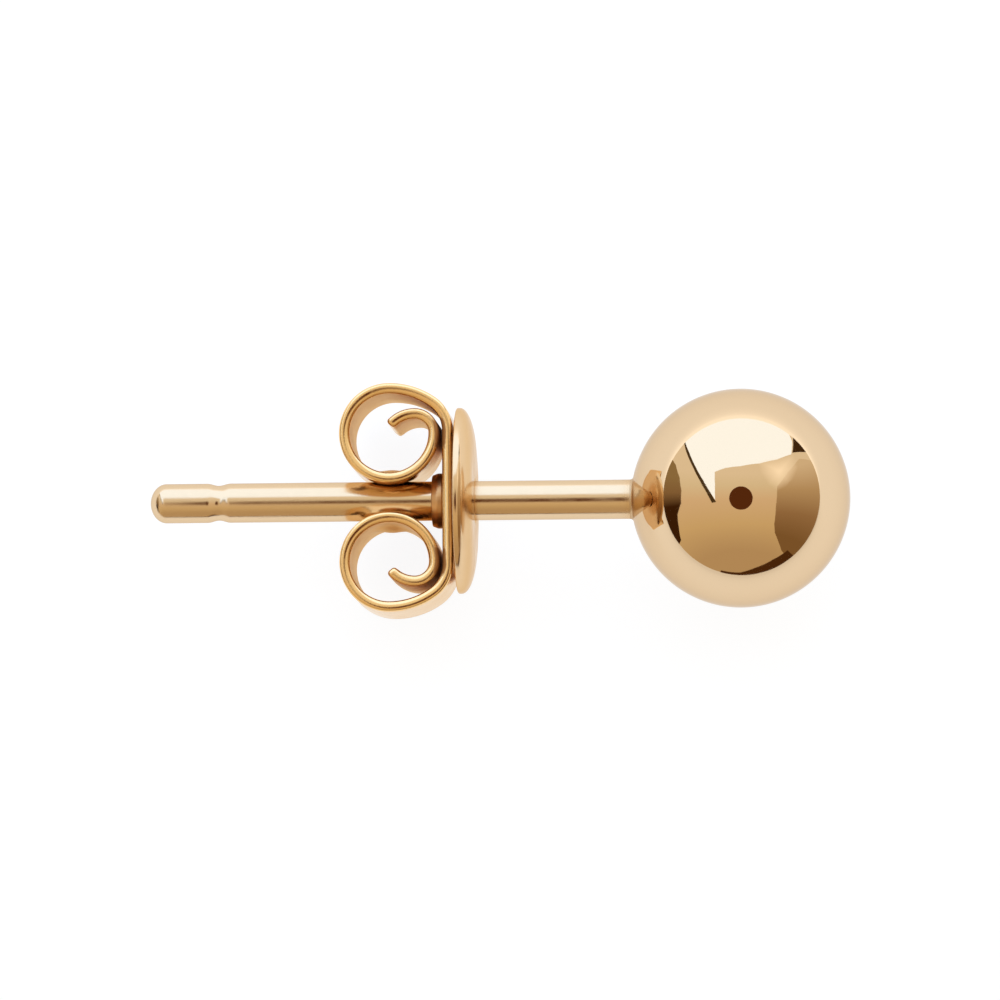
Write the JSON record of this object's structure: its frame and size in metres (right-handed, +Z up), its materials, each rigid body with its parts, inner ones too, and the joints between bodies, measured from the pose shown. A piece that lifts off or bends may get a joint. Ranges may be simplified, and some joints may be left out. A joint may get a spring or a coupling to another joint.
{
  "type": "ball stud earring",
  "caption": "Polished gold-coloured ball stud earring lying on its side, with a disc-fronted butterfly back that slides on and off the post.",
  "frame": {"origin": "middle of the bounding box, on the surface that the stud lies on", "axes": "+X towards the ball, the post running back towards -X and drooping 3.36 degrees, +Y across through both scrolls, +Z up"},
  "size_m": [0.016, 0.0052, 0.005],
  "materials": {
    "stud_gold": "mirror-polished gold colour",
    "disc_gold": "polished gold colour, pressed sheet",
    "scroll_gold": "polished gold colour, curled strip with cut edges"
  },
  "bodies": {
    "stud": {"ball_and_post": "stud_gold"},
    "butterfly_back": {"back_disc": "disc_gold", "back_scrolls": "scroll_gold"}
  },
  "joints": [
    {"name": "back_slide", "type": "slide", "parent": "stud", "child": "butterfly_back", "axis": [-0.9983, 0, -0.0585], "range_m": [-0.0034, 0.0084]}
  ]
}
